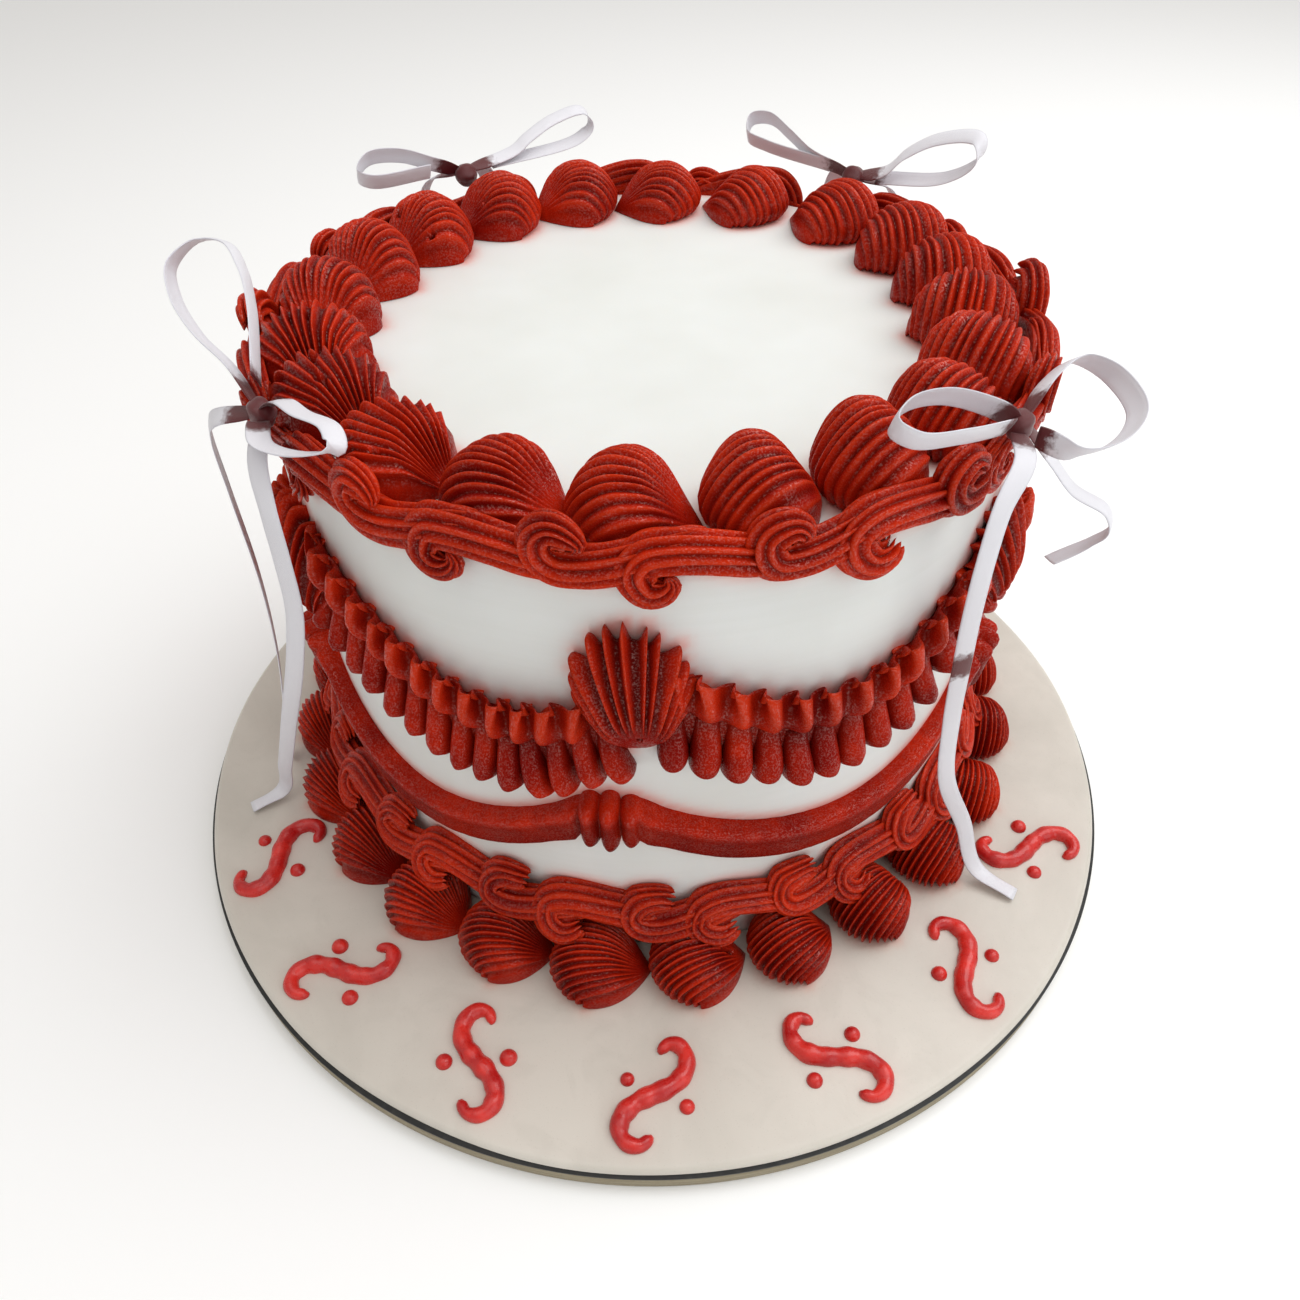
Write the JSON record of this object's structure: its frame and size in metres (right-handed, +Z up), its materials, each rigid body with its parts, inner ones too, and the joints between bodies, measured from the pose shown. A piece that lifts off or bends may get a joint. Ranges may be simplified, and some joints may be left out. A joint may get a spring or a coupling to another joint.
{
  "type": "cake on board",
  "caption": "Tall round celebration cake with piped shell borders, scrolls, swags and ribbon bows, standing on a round covered cake board.",
  "frame": {"origin": "centre of the board's underside", "axes": "+Z up, -Y towards the front of the cake, +X to the viewer's right"},
  "size_m": [0.3048, 0.3048, 0.1789],
  "materials": {
    "fibreboard": "raw cut edge, matte",
    "black_laminate": "smooth, slightly glossy",
    "sugar_paste": "smooth rolled sugar paste, satin",
    "white_icing": "smoothed buttercream, matte",
    "red_icing": "piped buttercream, satin with a fine shimmer",
    "white_satin": "woven satin ribbon"
  },
  "bodies": {
    "root": {"board_core": "fibreboard", "board_laminate": "black_laminate", "board_covering": "sugar_paste", "cake_body": "white_icing", "top_shell_01": "red_icing", "top_shell_02": "red_icing", "top_shell_03": "red_icing", "top_shell_04": "red_icing", "top_shell_05": "red_icing", "top_shell_06": "red_icing", "top_shell_07": "red_icing", "top_shell_08": "red_icing", "top_shell_09": "red_icing", "top_shell_10": "red_icing", "top_shell_11": "red_icing", "top_shell_12": "red_icing", "top_shell_13": "red_icing", "top_shell_14": "red_icing", "top_shell_15": "red_icing", "top_shell_16": "red_icing", "top_shell_17": "red_icing", "top_shell_18": "red_icing", "top_shell_19": "red_icing", "top_shell_20": "red_icing", "bottom_shell_border": "red_icing", "upper_scroll_border": "red_icing", "lower_scroll_border": "red_icing", "fan_shell_1": "red_icing", "fan_shell_2": "red_icing", "fan_shell_3": "red_icing", "fan_shell_4": "red_icing", "fan_shell_5": "red_icing", "fan_shell_6": "red_icing", "ruffle_swag_1": "red_icing", "ruffle_swag_2": "red_icing", "ruffle_swag_3": "red_icing", "ruffle_swag_4": "red_icing", "ruffle_swag_5": "red_icing", "ruffle_swag_6": "red_icing", "fringe_swag_1": "red_icing", "fringe_swag_2": "red_icing", "fringe_swag_3": "red_icing", "fringe_swag_4": "red_icing", "fringe_swag_5": "red_icing", "fringe_swag_6": "red_icing", "band_with_knots": "red_icing", "ribbon_bow_front_right": "white_satin", "ribbon_bow_front_left": "white_satin", "ribbon_bow_back_right": "white_satin", "ribbon_bow_back_left": "white_satin"}
  },
  "joints": []
}
